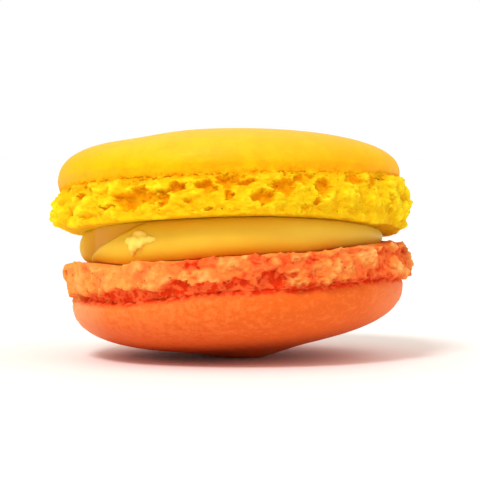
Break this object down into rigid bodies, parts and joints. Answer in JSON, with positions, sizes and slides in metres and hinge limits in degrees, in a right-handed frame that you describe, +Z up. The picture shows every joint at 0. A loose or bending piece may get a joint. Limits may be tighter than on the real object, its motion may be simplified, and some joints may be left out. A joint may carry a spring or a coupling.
{
  "type": "passion fruit macaron",
  "caption": "Round sandwich biscuit: yellow and orange almond meringue shells with torn, frilly feet and smooth domes, pressed onto a layer of passion fruit cream.",
  "frame": {"origin": "centre of the bounding box's bottom, on the surface that the macaron stands on", "axes": "+Z up through both domes, -Y the side with the thickest cream, which the picture shows, +X to the right of that view"},
  "size_m": [0.0451, 0.045, 0.0282],
  "materials": {
    "yellow_shell": "satin baked meringue crust over a torn, matt foot",
    "cream": "smooth, softly shining set cream",
    "orange_shell": "matt baked meringue crust over a torn foot"
  },
  "bodies": {
    "root": {"upper_shell": "yellow_shell", "filling": "cream", "lower_shell": "orange_shell"}
  },
  "joints": []
}
